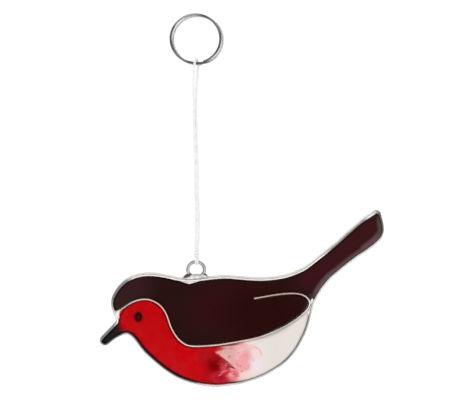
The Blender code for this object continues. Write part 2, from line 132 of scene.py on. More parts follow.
# Colours of the pours, each a soft-edged ellipse in the plane of the bird, in the order they are laid:
# middle x and z, half its width and height (mm), softness, turn (degrees), share and screen colour
BROWN_AREAS = [
    (-35.0, -137.5, 13.0, 8.5, 0.6, 20.0, 1.0, (54, 27, 33)),
    (-38.0, -146.0, 8.0, 5.0, 0.6, 30.0, 1.0, (52, 30, 28)),
    (22.0, -148.0, 26.0, 14.0, 0.5, 0.0, 1.0, (50, 15, 17)),
    (34.0, -150.0, 20.0, 14.0, 0.5, 0.0, 1.0, (41, 12, 10)),
    (77.0, -114.0, 30.0, 10.0, 0.5, 40.0, 1.0, (58, 21, 23)),
    (58.0, -131.0, 7.0, 4.0, 0.6, 40.0, 1.0, (60, 18, 26)),
]
RED_AREAS = [
    (-22.0, -164.0, 9.0, 6.0, 0.7, -20.0, 0.6, (190, 8, 16)),
    (2.0, -172.0, 14.0, 9.0, 0.7, -15.0, 0.7, (200, 0, 9)),
    (-10.0, -177.0, 12.0, 3.5, 0.6, -35.0, 0.6, (188, 12, 20)),
    (28.0, -173.1, 5.6, 8.2, 0.30, 10.0, 0.9, (238, 214, 212)),
    (18.8, -174.0, 8.9, 9.9, 0.20, 0.0, 1.0, (232, 172, 172)),
    (15.6, -170.0, 5.4, 3.7, 0.30, -22.0, 0.9, (220, 172, 166)),
    (22.5, -174.4, 3.9, 6.0, 0.40, -8.0, 0.85, (237, 160, 167)),
    (24.9, -167.3, 3.9, 1.7, 0.5, 8.0, 0.6, (236, 186, 182)),
    (29.8, -175.9, 3.5, 3.9, 0.6, 10.0, 0.8, (236, 222, 231)),
    (23.6, -181.3, 3.7, 2.4, 0.6, 20.0, 0.8, (240, 214, 207)),
    (8.6, -175.9, 9.7, 5.4, 0.12, -41.0, 1.0, (176, 8, 18)),
    (9.3, -176.0, 3.5, 3.9, 0.7, 0.0, 1.0, (128, 0, 4)),
    (7.2, -170.5, 3.5, 2.4, 0.7, -30.0, 0.5, (168, 12, 22)),
    (7.1, -182.2, 4.3, 3.2, 0.6, 0.0, 0.6, (158, 12, 20)),
    (13.0, -182.0, 6.0, 3.2, 0.30, 5.0, 0.95, (184, 24, 44)),
    (11.5, -182.6, 1.9, 1.7, 0.5, 0.0, 0.8, (158, 14, 30)),
    (14.5, -177.4, 2.4, 2.6, 0.5, 0.0, 0.7, (196, 60, 76)),
    (18.4, -181.3, 2.8, 2.8, 0.40, -20.0, 0.9, (218, 88, 100)),
    (14.3, -173.8, 5.6, 0.42, 0.5, -41.0, 0.9, (140, 10, 20)),
    (17.9, -175.3, 2.8, 0.38, 0.5, -41.0, 0.85, (240, 174, 166)),
    (14.8, -176.3, 1.7, 1.1, 0.35, -10.0, 0.95, (150, 24, 42)),
    (14.9, -176.3, 0.75, 0.45, 0.5, -10.0, 0.8, (208, 105, 114)),
    (17.3, -177.2, 2.1, 0.44, 0.5, -22.0, 0.95, (150, 26, 42)),
    (17.1, -180.5, 1.4, 0.55, 0.5, 25.0, 0.9, (247, 142, 140)),
    (13.9, -179.3, 1.9, 0.36, 0.5, 20.0, 0.8, (232, 120, 128)),
    (16.9, -181.6, 0.9, 0.55, 0.5, 0.0, 0.7, (240, 140, 140)),
    (11.9, -181.0, 1.4, 0.30, 0.5, 35.0, 0.7, (226, 110, 120)),
    (21.7, -176.6, 0.55, 0.45, 0.5, 0.0, 0.8, (205, 100, 112)),
    (22.6, -179.3, 0.85, 0.36, 0.5, 15.0, 0.8, (205, 105, 115)),
    (25.9, -176.3, 0.55, 0.65, 0.6, 0.0, 0.6, (210, 150, 155)),
    (16.7, -172.0, 1.1, 0.65, 0.6, 0.0, 0.8, (190, 110, 120)),
    (16.9, -167.4, 1.7, 1.0, 0.6, 10.0, 0.6, (206, 132, 142)),
    (20.2, -173.3, 0.45, 2.2, 0.5, 0.0, 0.5, (228, 168, 166)),
    (11.1, -169.8, 1.5, 0.55, 0.6, -10.0, 0.9, (236, 150, 135)),
    (29.6, -167.3, 1.8, 0.30, 0.6, -32.0, 0.8, (220, 150, 158)),
    (31.7, -169.7, 1.8, 0.30, 0.6, -70.0, 0.7, (222, 160, 166)),
    (17.6, -165.8, 4.1, 0.36, 0.6, 5.0, 0.85, (160, 70, 90)),
    (5.9, -167.9, 8.0, 1.6, 0.30, 2.0, 0.9, (184, 12, 24)),
    # Greyer along the underside of the divider over the belly
    (38.6, -159.7, 7.6, 1.3, 0.6, 24.0, 0.6, (200, 188, 180)),
]
EYE = [
    (-28.5, -151.4, 2.7, 3.4, 0.35, 0.0, 0.45, (120, 14, 16)),
    (-28.5, -151.4, 1.95, 2.55, 0.30, 0.0, 1.0, (40, 4, 6)),
    (-28.5, -151.8, 0.85, 1.15, 0.55, 0.0, 0.7, (78, 22, 12)),
]
# Distances along BEAK_DIRECTION over which the red turns purple and then black
BEAK_DIRECTION = (-0.919, 0.0, -0.395)
BEAK_PURPLE_AT = (0.0938, 0.0970)
BEAK_BLACK_AT = (0.0962, 0.0982)
# Where the red gives way to the white along X, and where the curls between them turn paler
BELLY_AT = (0.0170, 0.0260)
PALE_CURLS_AT = (0.0110, 0.0170)
# The reach of the curls and of the pale strands, as the areas above but for turn, share and colour
CURLS = (20.4, -173.5, 9.0, 10.0, 0.4)
CURLS_SHARE = 0.45
PALE_STRANDS = (21.5, -175.0, 8.0, 8.5, 0.4)
PALE_STRANDS_SHARE = 0.55

# Bands along the strips, as the areas above but with no share: painted reflections on the brown's rolled
# edge by the tail's strips with a painted highlight at its tip, and painted shade where the red meets them.
# Each ends with the distances from the strip (mm) at which it begins, is full, starts to fade and has gone
BROWN_RIM_REFLECTIONS = [
    (76.0, -123.5, 28.0, 5.5, 0.3, 48.0, (92, 64, 70), (0.20, 0.50, 1.1, 2.6)),
    (62.5, -134.0, 7.0, 5.0, 0.4, 52.0, (88, 70, 74), (0.0, 0.3, 1.4, 3.0)),
    (86.0, -113.5, 5.5, 4.0, 0.4, 42.0, (100, 66, 75), (0.2, 0.8, 1.8, 3.6)),
    (91.5, -105.5, 3.2, 6.5, 0.4, 0.0, (72, 68, 63), (0.0, 0.2, 1.2, 2.4)),
    (86.0, -99.4, 3.2, 1.6, 0.3, 47.0, (245, 240, 236), (0.0, 0.02, 0.12, 0.45)),
]
# Painted shade along the red pour's edges by the strips
RED_RIM_SHADE = [
    (-17.0, -171.5, 21.0, 8.0, 0.3, -37.0, (62, 5, 13), (-0.2, -0.1, 0.55, 1.55)),
    (-10.5, -160.0, 9.0, 12.0, 0.3, 0.0, (120, 6, 14), (-0.2, -0.1, 0.3, 1.0)),
]

# Painted reflections and highlights on the strips, given as the resin's areas are
STRIP_PAINTED_REFLECTIONS = [
    (-20.0, -153.0, 14.5, 13.0, 0.2, 0.0, 0.85, (255, 196, 180)),
    (14.0, -164.0, 24.0, 5.0, 0.4, 0.0, 0.85, (255, 206, 198)),
    (14.0, -131.0, 44.0, 5.5, 0.3, 0.0, 0.75, (255, 244, 240)),
    (42.0, -156.5, 15.0, 5.0, 0.3, 27.0, 0.6, (206, 198, 190)),
    (-17.0, -173.0, 21.0, 6.0, 0.3, -37.0, 0.6, (176, 175, 172)),
    (-38.0, -139.0, 8.0, 9.0, 0.4, 0.0, 0.65, (118, 116, 112)),
    (-44.0, -161.0, 7.5, 7.0, 0.3, 0.0, 0.8, (128, 126, 124)),
    (40.0, -139.5, 16.0, 4.0, 0.4, 0.0, 0.85, (214, 168, 154)),
    (8.5, -186.0, 8.0, 2.5, 0.4, 0.0, 0.8, (252, 200, 205)),
    (52.0, -168.0, 14.0, 15.0, 0.4, 0.0, 0.5, (150, 148, 143)),
    (91.0, -103.0, 3.0, 8.0, 0.4, 0.0, 0.85, (84, 82, 78)),
    (85.7, -98.7, 3.6, 0.6, 0.3, 47.0, 1.0, (255, 255, 255)),
]
# Painted reflections, as above, on the inner half of the outline strip's front, where it mirrors the resin.
# The values are those of the vertices' inner_side between which the painted reflections set in
INNER_HALF = (0.35, 0.65)
INNER_PAINTED_REFLECTIONS = [
    (-17.0, -171.5, 23.0, 6.0, 0.3, -37.0, 0.9, (84, 12, 20)),
    (-43.5, -163.0, 8.5, 6.5, 0.25, 40.0, 0.95, (62, 56, 56)),
    (-44.0, -139.0, 5.0, 12.0, 0.4, 0.0, 0.6, (96, 90, 86)),
    (55.0, -163.0, 14.0, 22.0, 0.4, -30.0, 0.75, (112, 110, 105)),
    (30.0, -182.0, 14.0, 5.0, 0.4, 15.0, 0.6, (130, 128, 124)),
    (92.0, -104.0, 3.5, 8.0, 0.4, 0.0, 0.9, (60, 57, 54)),
    (75.0, -124.5, 22.0, 4.5, 0.4, 46.0, 0.6, (120, 114, 112)),
]
# Painted dark reflections, as above, across the whole of the outline strip's front, where only its outer
# side stays pale
WHOLE_FRONT = (0.02, 0.15)
FRONT_PAINTED_REFLECTIONS = [
    (-37.8, -137.0, 7.5, 3.5, 0.3, 55.0, 0.75, (96, 92, 88)),
    (74.4, -109.0, 13.0, 2.5, 0.25, 45.0, 0.85, (84, 68, 62)),
]
# The same, on the solder (painted shadow round the eyelet's feet, and a red patch) and on the split ring
# (painted highlights)
SOLDER_PAINTED_SHADOWS_AND_STAINS = [
    (-4.4, -130.7, 2.2, 0.85, 0.35, 20.0, 0.92, (40, 40, 37)),
    (5.2, -130.1, 1.6, 0.55, 0.35, -12.0, 0.85, (60, 60, 56)),
    (0.0, -129.6, 2.8, 0.35, 0.5, 0.0, 0.7, (92, 94, 88)),
    (-36.2, -150.6, 1.8, 2.7, 0.15, 0.0, 1.0, (182, 14, 22)),
]
RING_PAINTED_HIGHLIGHTS = [
    (-4.5, -1.0, 6.5, 2.6, 0.4, 20.0, 0.75, (240, 240, 237)),
    (8.4, -3.8, 4.6, 2.4, 0.4, -45.0, 0.6, (205, 205, 201)),
    (-8.2, -20.5, 5.2, 2.6, 0.4, -42.0, 0.6, (205, 205, 201)),
    (7.6, -20.3, 3.4, 1.8, 0.4, 40.0, 0.5, (190, 190, 186)),
    (3.2, -24.6, 3.4, 1.4, 0.4, 8.0, 0.4, (190, 184, 180)),
]

# Eyelet
EYELET_DIAMETER = 0.0098
EYELET_WIRE = 0.0016
EYELET_RADIUS = (EYELET_DIAMETER - EYELET_WIRE) / 2
EYELET_CENTRE = Vector((0, 0, -0.1279))
EYELET_STEPS = 96
EYELET_WIRE_STEPS = 24

# Split ring
RING_DIAMETER = 0.0254
RING_WIRE = 0.0011
RING_TURN_GAP = 0.0003
RING_REAR_SHIFT_X = 0.0012
RING_REAR_DROP = 0.0008
RING_SAG = 0.0003
RING_CENTRE_X = -0.0002
RING_START_ANGLE = math.radians(-72)
RING_SWEEP = math.radians(712)
RING_CROSSING = math.radians(50)
RING_STEPS = 400
RING_CORNER_RADIUS = 0.00038
RING_CORNER_STEPS = 4
RING_FRONT_METALLIC = 0.6
RING_REAR_METALLIC = 0.25

# Cord loop: up the left strand from the knot, over the ring's wire and down the right strand
CORD_DIAMETER = 0.0011
CORD_ROUTE = [
    (-0.00045, 0.0, -0.1172),
    (-0.0003, -0.0001, -0.1140),
    (0.0001, -0.0001, -0.1055),
    (-0.0003, 0.0, -0.0878),
    (-0.0007, -0.0002, -0.0676),
    (-0.0010, -0.0005, -0.0493),
    (-0.0013, -0.0008, -0.0362),
    (-0.0011, -0.0017, -0.0285),
    (-0.0008, -0.0024, -0.0245),
    (-0.0006, -0.0020, -0.0224),
    (-0.0002, -0.0008, -0.0211),
    (0.0003, 0.0008, -0.0214),
    (0.0008, 0.0021, -0.0231),
    (0.0010, 0.0024, -0.0253),
    (0.0009, 0.0017, -0.0290),
    (0.0003, 0.0008, -0.0362),
    (0.0001, 0.0005, -0.0493),
    (0.0006, 0.0002, -0.0676),
    (0.0010, 0.0, -0.0878),
    (0.0014, 0.0001, -0.1055),
    (0.0011, 0.0001, -0.1140),
    (0.00085, 0.0, -0.1172),
]
CORD_PIECES = 40
CORD_STEP = 0.00022
CORD_SECTION_POINTS = 18
CORD_PLIES = 3
CORD_PLY_DEPTH = 0.10
CORD_TWIST_LENGTH = 0.0062

# Knot
KNOT_X = 0.0002
KNOT_TOP = -0.1175
KNOT_LENGTH = 0.0050
KNOT_DIAMETER = 0.0028
KNOT_WRAPS = 3
KNOT_WRAP_STEPS = 24
KNOT_END_SHARE = 0.75
KNOT_STRAND = 0.00105
KNOT_CORE_PIECES = 8
TIE_STRANDS_X = (-0.00035, 0.00055)
TIE_STRAND = 0.00085
TIE_ANGLES = range(60, -241, -20)
TIE_GATHER = 0.4
TIE_PIECES = 6


def catmull(p0, p1, p2, p3, t):
    """A point between p1 and p2 on the smooth curve through all four."""
    return 0.5 * (
        2 * p1 + (p2 - p0) * t + (2 * p0 - 5 * p1 + 4 * p2 - p3) * t**2 + (3 * p1 - p0 - 3 * p2 + p3) * t**3
    )


def smooth(points, pieces):
    """A smooth open curve through the points, each gap in this many pieces."""
    ends = [2 * points[0] - points[1]] + points + [2 * points[-1] - points[-2]]
    path = []
    for p0, p1, p2, p3 in zip(ends, ends[1:], ends[2:], ends[3:]):
        path += [catmull(p0, p1, p2, p3, i / pieces) for i in range(pieces)]
    return path + [points[-1]]


def evenly(path, spacing, closed=False):
    """Points at about this spacing along the path. An open path keeps its ends."""
    if closed:
        path = path + path[:1]
    lengths = [(b - a).length for a, b in zip(path, path[1:])]
    count = max(2, round(sum(lengths) / spacing))
    step = sum(lengths) / count
    spots = [path[0]]
    travelled = 0.0
    for a, b, length in zip(path, path[1:], lengths):
        while len(spots) * step <= travelled + length and len(spots) < count:
            spots.append(a.lerp(b, (len(spots) * step - travelled) / length))
        travelled += length
    return spots if closed else spots + [path[-1]]


def softened(loop, times):
    """A closed loop with its corners eased, each pass averaging a point with its neighbours."""
    for _ in range(times):
        loop = [(a + 2 * b + c) / 4 for a, b, c in zip(loop[-1:] + loop[:-1], loop, loop[1:] + loop[:1])]
    return loop


def softened_path(path, times):
    """An open path with its corners eased and its ends kept."""
    for _ in range(times):
        inner = [(a + 2 * b + c) / 4 for a, b, c in zip(path, path[1:], path[2:])]
        path = [path[0], *inner, path[-1]]
    return path


def offset(points, distance, closed=True):
    """The flat path moved to its left by the distance, mitred at its corners."""
    moved = []
    count = len(points)
    for i, point in enumerate(points):
        before = points[i - 1] if closed or i > 0 else 2 * point - points[1]
        after = points[(i + 1) % count] if closed or i < count - 1 else 2 * point - points[i - 1]
        first = (point - before).normalized()
        second = (after - point).normalized()
        normal = (first + second).normalized()
        mitre = max(normal.dot(first), SHARPEST_MITRE)
        moved.append(point + Vector((-normal.y, normal.x)) * distance / mitre)
    return moved


def loops_at(node, level):
    """The closed outlines, as (x, z) points, of a CAD node's flat faces at this depth, longest first.

    The outer edge of a face runs counterclockwise seen from the front, and a hole's edge clockwise.
    """
    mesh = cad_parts[node].data
    mesh.calc_loop_triangles()
    numbers, spots, places = {}, [], []
    for vert in mesh.vertices:
        key = (round(vert.co.x / WELD_GRID), round(vert.co.z / WELD_GRID))
        if key not in numbers:
            numbers[key] = len(spots)
            spots.append(Vector((vert.co.x, vert.co.z)))
        places.append(numbers[key])
    directed = set()
    for face in mesh.loop_triangles:
        if all(abs(mesh.vertices[i].co.y - level) < LEVEL_TOLERANCE for i in face.vertices):
            a, b, c = (places[i] for i in face.vertices)
            if (spots[b] - spots[a]).cross(spots[c] - spots[a]) < 0:
                b, c = c, b
            directed |= {(a, b), (b, c), (c, a)}
    following = {a: b for a, b in directed if (b, a) not in directed}
    loops = []
    while following:
        start, after = following.popitem()
        loop = [start]
        while after != start:
            loop.append(after)
            after = following.pop(after)
        loops.append([spots[i] for i in loop])
    return sorted(loops, key=lambda loop: -sum((b - a).length for a, b in zip(loop, loop[1:] + loop[:1])))


def distances(points, loop):
    """How far each flat point is from the nearest side of a closed loop."""
    spots = np.array([(p.x, p.y) for p in points])
    starts = np.array([(p.x, p.y) for p in loop])
    sides = np.roll(starts, -1, axis=0) - starts
    squares = np.maximum((sides**2).sum(axis=1), SAME_POINT**2)
    found = []
    for spot in spots:
        t = np.clip(((spot - starts) * sides).sum(axis=1) / squares, 0, 1)
        gaps = starts + sides * t[:, None] - spot
        found.append(math.sqrt((gaps**2).sum(axis=1).min()))
    return found


def rounded_rectangle(width, height, radius, steps):
    """Counterclockwise (across, along) points of a rectangle with round corners."""
    points = []
    for corner, (sx, sy) in enumerate([(1, 1), (-1, 1), (-1, -1), (1, -1)]):
        for i in range(steps + 1):
            angle = math.pi / 2 * (corner + i / steps)
            across = sx * (width / 2 - radius) + radius * math.cos(angle)
            along = sy * (height / 2 - radius) + radius * math.sin(angle)
            points.append((across, along))
    return points


def link(name, mesh, surface, slot=None, replaced=()):
    """Adds a mesh to the scene. One with a slot rides on the model's body."""
    obj = bpy.data.objects.new(name, mesh)
    bpy.context.scene.collection.objects.link(obj)
    mesh.materials.append(surface)
    if slot:
        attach(obj, "root")
    if replaced:
        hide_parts(*replaced)
    return obj


def mesh_from(name, bm):
    """A smooth-shaded mesh from the bmesh, with its faces pointing out."""
    bmesh.ops.recalc_face_normals(bm, faces=bm.faces[:])
    mesh = bpy.data.meshes.new(name)
    bm.to_mesh(mesh)
    bm.free()
    mesh.shade_smooth()
    return mesh


def add_loft(bm, rows, closed=False):
    """Quads between rows of as many points each. An open loft is capped at both ends."""
    rings = [[bm.verts.new(p) for p in row] for row in rows]
    pairs = list(zip(rings, rings[1:] + rings[:1])) if closed else list(zip(rings, rings[1:]))
    for ring, after in pairs:
        for i in range(len(ring)):
            j = (i + 1) % len(ring)
            bm.faces.new((ring[i], ring[j], after[j], after[i]))
    if not closed:
        bm.faces.new(rings[0])
        bm.faces.new(rings[-1])
    return rings


def flat_rows(path, closed, section_at):
    """Sections across a path that lies in the plane of the bird: each point is (to the left, along Y)."""
    rows = []
    count = len(path)
    for i, point in enumerate(path):
        before = path[i - 1] if closed or i > 0 else 2 * point - path[1]
        after = path[(i + 1) % count] if closed or i < count - 1 else 2 * point - path[i - 1]
        along = (after - before).normalized()
        left = Vector((-along.y, along.x))
        row = []
        for a, b in section_at(i):
            spot = point + left * a
            row.append(Vector((spot.x, b, spot.y)))
        rows.append(row)
    return rows


def tube_rows(path, section_at):
    """Sections across a path in space, turned as little as possible from one to the next."""
    rows = []
    across = Vector((1, 0, 0))
    for i, point in enumerate(path):
        along = (path[min(i + 1, len(path) - 1)] - path[max(i - 1, 0)]).normalized()
        across = (across - along * across.dot(along)).normalized()
        up = along.cross(across)
        rows.append([point + across * a + up * b for a, b in section_at(i)])
    return rows


def circle(radius, steps):
    angles = [2 * math.pi * i / steps for i in range(steps)]
    return [(radius * math.cos(a), radius * math.sin(a)) for a in angles]


class Surface:
    """A material being put together from nodes."""

    def __init__(self, name, **fixed):
        self.material = bpy.data.materials.new(name)
        self.material.use_nodes = True
        self.tree = self.material.node_tree
        self.shader = self.tree.nodes["Principled BSDF"]
        self.place = self.add("ShaderNodeTexCoord").outputs["Object"]
        for socket, value in fixed.items():
            self.set(socket.replace("_", " "), value)

    def add(self, kind, **settings):
        node = self.tree.nodes.new(kind)
        for name, value in settings.items():
            setattr(node, name, value)
        return node

    def feed(self, socket, value):
        if isinstance(value, bpy.types.NodeSocket):
            self.tree.links.new(value, socket)
        elif hasattr(value, "__len__") and socket.type == "RGBA" and len(value) == 3:
            socket.default_value = (*value, 1.0)
        else:
            socket.default_value = value

    def set(self, socket, value):
        self.feed(self.shader.inputs[socket], value)

    def math(self, operation, a, b):
        node = self.add("ShaderNodeMath", operation=operation)
        self.feed(node.inputs[0], a)
        self.feed(node.inputs[1], b)
        return node.outputs[0]

    def coordinate(self, axis, where=None):
        node = self.add("ShaderNodeSeparateXYZ")
        self.feed(node.inputs[0], where or self.place)
        return node.outputs[axis]

    def vector(self, operation, a, b=(0.0, 0.0, 0.0)):
        node = self.add("ShaderNodeVectorMath", operation=operation)
        self.feed(node.inputs[0], a)
        if operation == "SCALE":
            self.feed(node.inputs["Scale"], b)
        else:
            self.feed(node.inputs[1], b)
        return node.outputs["Value" if operation in ("LENGTH", "DOT_PRODUCT") else "Vector"]

    def noise(self, size, detail=2.0, where=None, colour=False, stretch=None):
        """Cloudy values about 0.5, with features of about this size in metres."""
        node = self.add("ShaderNodeTexNoise")
        where = where or self.place
        if stretch:
            where = self.vector("MULTIPLY", where, stretch)
        self.feed(node.inputs["Vector"], where)
        node.inputs["Scale"].default_value = 1 / size
        node.inputs["Detail"].default_value = detail
        return node.outputs["Color" if colour else "Fac"]

    def ramp(self, value, low, high, at_low=0.0, at_high=1.0):
        """Eases from at_low to at_high as the value goes from low to high."""
        node = self.add("ShaderNodeMapRange", interpolation_type="SMOOTHSTEP")
        for number, setting in enumerate((value, low, high, at_low, at_high)):
            self.feed(node.inputs[number], setting)
        return node.outputs[0]

    def mix(self, share, first, second, blend="MIX"):
        node = self.add("ShaderNodeMix", data_type="RGBA", blend_type=blend)
        self.feed(node.inputs[0], share)
        self.feed(node.inputs[6], first)
        self.feed(node.inputs[7], second)
        return node.outputs[2]

    def attribute(self, name):
        return self.add("ShaderNodeAttribute", attribute_name=name).outputs["Fac"]

    def bump(self, height, distance, strength=1.0):
        node = self.add("ShaderNodeBump")
        self.feed(node.inputs["Height"], height)
        node.inputs["Distance"].default_value = distance
        node.inputs["Strength"].default_value = strength
        self.set("Normal", node.outputs[0])

    def warped(self, size, amount):
        """The place, pushed about by up to this amount, for edges that look poured."""
        push = self.vector("SUBTRACT", self.noise(size, 3.0, colour=True), (0.5, 0.5, 0.5))
        return self.vector("ADD", self.place, self.vector("SCALE", push, 2 * amount))

    def blob(self, where, x, z, across, tall, soft, turn=0.0):
        """1 inside an ellipse in the plane of the bird and 0 outside, in millimetres, with a soft rim."""
        moved = self.vector("SUBTRACT", where, (x * MM, 0.0, z * MM))
        turned = self.add("ShaderNodeVectorRotate", rotation_type="Y_AXIS")
        self.feed(turned.inputs["Vector"], moved)
        turned.inputs["Angle"].default_value = math.radians(turn)
        scaled = self.vector("MULTIPLY", turned.outputs[0], (1 / (across * MM), 0.0, 1 / (tall * MM)))
        return self.ramp(self.vector("LENGTH", scaled), 1 - soft, 1 + soft, 1.0, 0.0)


def srgb(red, green, blue):
    """A screen colour, 0 to 255, as the linear values that shaders take."""
    values = []
    for value in (red, green, blue):
        share = value / 255
        values.append(share / 12.92 if share <= 0.04045 else ((share + 0.055) / 1.055) ** 2.4)
    return tuple(values)


def overlaid(look, colour, stains_and_painted_light, where=None):
    """The colour with soft-edged ellipses laid over it, one after another."""
    for x, z, across, tall, soft, turn, share, tint in stains_and_painted_light:
        mask = look.blob(where or look.place, x, z, across, tall, soft, turn)
        colour = look.mix(look.math("MULTIPLY", mask, share), colour, srgb(*tint))
    return colour


def strip_metal():
    """Hand-bent silver-coloured strip, dulled in patches, with painted reflections and highlights and a
    painted shade along its outer corner.
    """
    look = Surface("strip_metal", Metallic=0.55)
    patches = look.noise(0.006, 3.0)
    colour = look.mix(look.ramp(patches, 0.35, 0.60), (0.80, 0.78, 0.75), (0.95, 0.93, 0.90))
    # Painted reflections and highlights on the strips
    colour = overlaid(look, colour, STRIP_PAINTED_REFLECTIONS)
    # Painted reflections on the inner half of the outline strip's front, and painted dark reflections
    # across its whole front
    for reach, stains_and_painted_light in ((INNER_HALF, INNER_PAINTED_REFLECTIONS), (WHOLE_FRONT, FRONT_PAINTED_REFLECTIONS)):
        mask = look.ramp(look.attribute("inner_side"), *reach)
        colour = look.mix(mask, colour, overlaid(look, colour, stains_and_painted_light))
    grime = look.ramp(look.noise(0.0022, 4.0), 0.58, 0.72)
    colour = look.mix(look.math("MULTIPLY", grime, STRIP_GRIME), colour, (0.30, 0.28, 0.26))
    # Painted shade along the outer corner of the outline strip, in patches
    corner_shade_patches = look.ramp(look.noise(0.0030, 3.0), 0.38, 0.56, 0.20, 0.80)
    corner = look.math("MULTIPLY", look.attribute("outer_corner"), corner_shade_patches)
    colour = look.mix(corner, colour, look.mix(1.0, colour, (0.22, 0.21, 0.20), "MULTIPLY"))
    look.set("Base Color", colour)
    look.set("Roughness", look.ramp(look.noise(0.0015, 3.0), 0.3, 0.7, 0.28, 0.42))
    look.bump(look.noise(0.0016, 2.0), 0.00003, 0.4)
    return look.material


def solder_metal():
    """Solder: paler and duller than the strip, with small pits."""
    look = Surface("solder_metal", Metallic=0.5)
    patches = look.noise(0.0018, 4.0)
    colour = look.mix(look.ramp(patches, 0.36, 0.58), (0.62, 0.62, 0.59), (0.86, 0.85, 0.83))
    # Painted shadow in the crevices round the eyelet's feet, and a red patch
    look.set("Base Color", overlaid(look, colour, SOLDER_PAINTED_SHADOWS_AND_STAINS))
    look.set("Roughness", look.ramp(patches, 0.35, 0.65, 0.46, 0.32))
    look.bump(look.noise(0.0005, 3.0), 0.00005, 0.6)
    return look.material


def eyelet_metal():
    """Tinned wire, mottled grey."""
    look = Surface("eyelet_metal", Metallic=0.6)
    stains_and_painted_light = look.noise(0.0020, 4.0)
    colour = look.mix(look.ramp(stains_and_painted_light, 0.40, 0.62), (0.50, 0.50, 0.48), (0.70, 0.71, 0.68))
    look.set("Base Color", colour)
    look.set("Roughness", look.ramp(stains_and_painted_light, 0.35, 0.65, 0.36, 0.24))
    look.bump(look.noise(0.0004, 2.0), 0.00003, 0.5)
    return look.material


def ring_metal():
    """Plated spring steel with fine rubbing marks, painted dark on the front turn and bright on the rear
    one, with painted highlights.
    """
    look = Surface("ring_metal")
    marks = look.noise(0.0012, 4.0)
    depth = look.coordinate("Y")
    # Painted light: the front turn is painted dark and the rear turn bright
    rear = look.ramp(depth, -RING_TURN_GAP, RING_TURN_GAP)
    rubbed_shaded_by_turn = look.mix(rear, (0.26, 0.26, 0.25), (0.93, 0.93, 0.925))
    dull_shaded_by_turn = look.mix(rear, (0.17, 0.17, 0.165), (0.84, 0.84, 0.835))
    metallic = look.ramp(depth, -RING_TURN_GAP, RING_TURN_GAP, RING_FRONT_METALLIC, RING_REAR_METALLIC)
    look.set("Metallic", metallic)
    colour = look.mix(look.ramp(marks, 0.40, 0.65), rubbed_shaded_by_turn, dull_shaded_by_turn)
    # Painted highlights on the ring
    look.set("Base Color", overlaid(look, colour, RING_PAINTED_HIGHLIGHTS))
    look.set("Roughness", look.ramp(marks, 0.35, 0.65, 0.16, 0.28))
    look.bump(look.noise(0.0003, 2.0), 0.00001, 0.4)
    return look.material


def cord_cotton():
    """Off-white cotton, fuzzy at the scale of its fibres."""
    look = Surface("white_cord", Roughness=0.92, Sheen_Weight=0.35, Sheen_Roughness=0.6)
    fibres = look.noise(0.00022, 3.0, stretch=(1.0, 1.0, 0.4))
    shade = look.noise(0.0040, 2.0)
    colour = look.mix(look.ramp(shade, 0.35, 0.65), (0.83, 0.825, 0.82), (0.89, 0.885, 0.88))
    colour = look.mix(look.ramp(fibres, 0.35, 0.62, 0.30, 0.0), colour, (0.66, 0.64, 0.63))
    look.set("Base Color", colour)
    look.bump(fibres, 0.00008, 0.7)
    return look.material


def resin_finish(look, colour, painted_rim_shade, bands):
    """What both pours share: a painted shade and bands of painted reflection and shade by the strips, and a
    gloss that ripples faintly.
    """
    # Painted shade by the strips, fading inward
    rim = look.attribute("from_strip")
    shade = look.ramp(rim, *RESIN_SHADE_FADES, RESIN_SHADE, 0.0)
    colour = look.mix(shade, colour, look.mix(1.0, colour, painted_rim_shade, "MULTIPLY"))
    # Bands of painted reflection and shade along the strips
    for x, z, across, tall, soft, turn, tint, (start, full, fade, end) in bands:
        rise = look.ramp(rim, start * MM, full * MM)
        band = look.math("MULTIPLY", rise, look.ramp(rim, fade * MM, end * MM, 1.0, 0.0))
        mask = look.math("MULTIPLY", band, look.blob(look.place, x, z, across, tall, soft, turn))
        colour = look.mix(mask, colour, srgb(*tint))
    look.set("Base Color", colour)
    look.set("Roughness", look.ramp(look.noise(0.0030, 3.0), 0.35, 0.65, 0.07, 0.15))
    look.bump(look.noise(0.0016, 2.0), 0.00002, 0.25)


def brown_resin():
    """Very dark red-brown, greyer over the crown and redder towards the back and the tail."""
    look = Surface("brown_resin", IOR=1.5)
    where = look.warped(0.012, 0.002)
    colour = look.mix(look.noise(0.010, 2.0), srgb(36, 19, 15), srgb(44, 18, 18))
    colour = overlaid(look, colour, BROWN_AREAS, where)
    # Painted shade by the strips, and painted reflections on the tail's rolled edge
    resin_finish(look, colour, (0.30, 0.22, 0.22), BROWN_RIM_REFLECTIONS)
    return look.material


def red_white_resin():
    """Red over the face and breast, black at the beak, swirling into a pale belly."""
    look = Surface("red_white_resin", IOR=1.5)
    where = look.warped(0.0035, 0.0004)
    sideways = look.coordinate("X", where)
    red = look.mix(look.noise(0.014, 2.0), srgb(184, 3, 11), srgb(190, 2, 10))
    pale = look.mix(look.noise(0.009, 3.0), srgb(224, 217, 210), srgb(230, 224, 219))
    belly = look.ramp(sideways, *BELLY_AT)
    colour = overlaid(look, look.mix(belly, red, pale), RED_AREAS, where)
    colour = marbled(look, colour, sideways)
    colour = overlaid(look, colour, EYE)
    forward = look.vector("DOT_PRODUCT", look.place, BEAK_DIRECTION)
    colour = look.mix(look.ramp(forward, *BEAK_PURPLE_AT), colour, srgb(96, 16, 28))
    colour = look.mix(look.ramp(forward, *BEAK_BLACK_AT), colour, srgb(34, 31, 29))
    # Painted shade by the strips: dark red on the red pour, light grey on the belly
    painted_rim_shade = look.mix(belly, (0.16, 0.10, 0.10), (0.80, 0.76, 0.74))
    resin_finish(look, colour, painted_rim_shade, RED_RIM_SHADE)
    return look.material


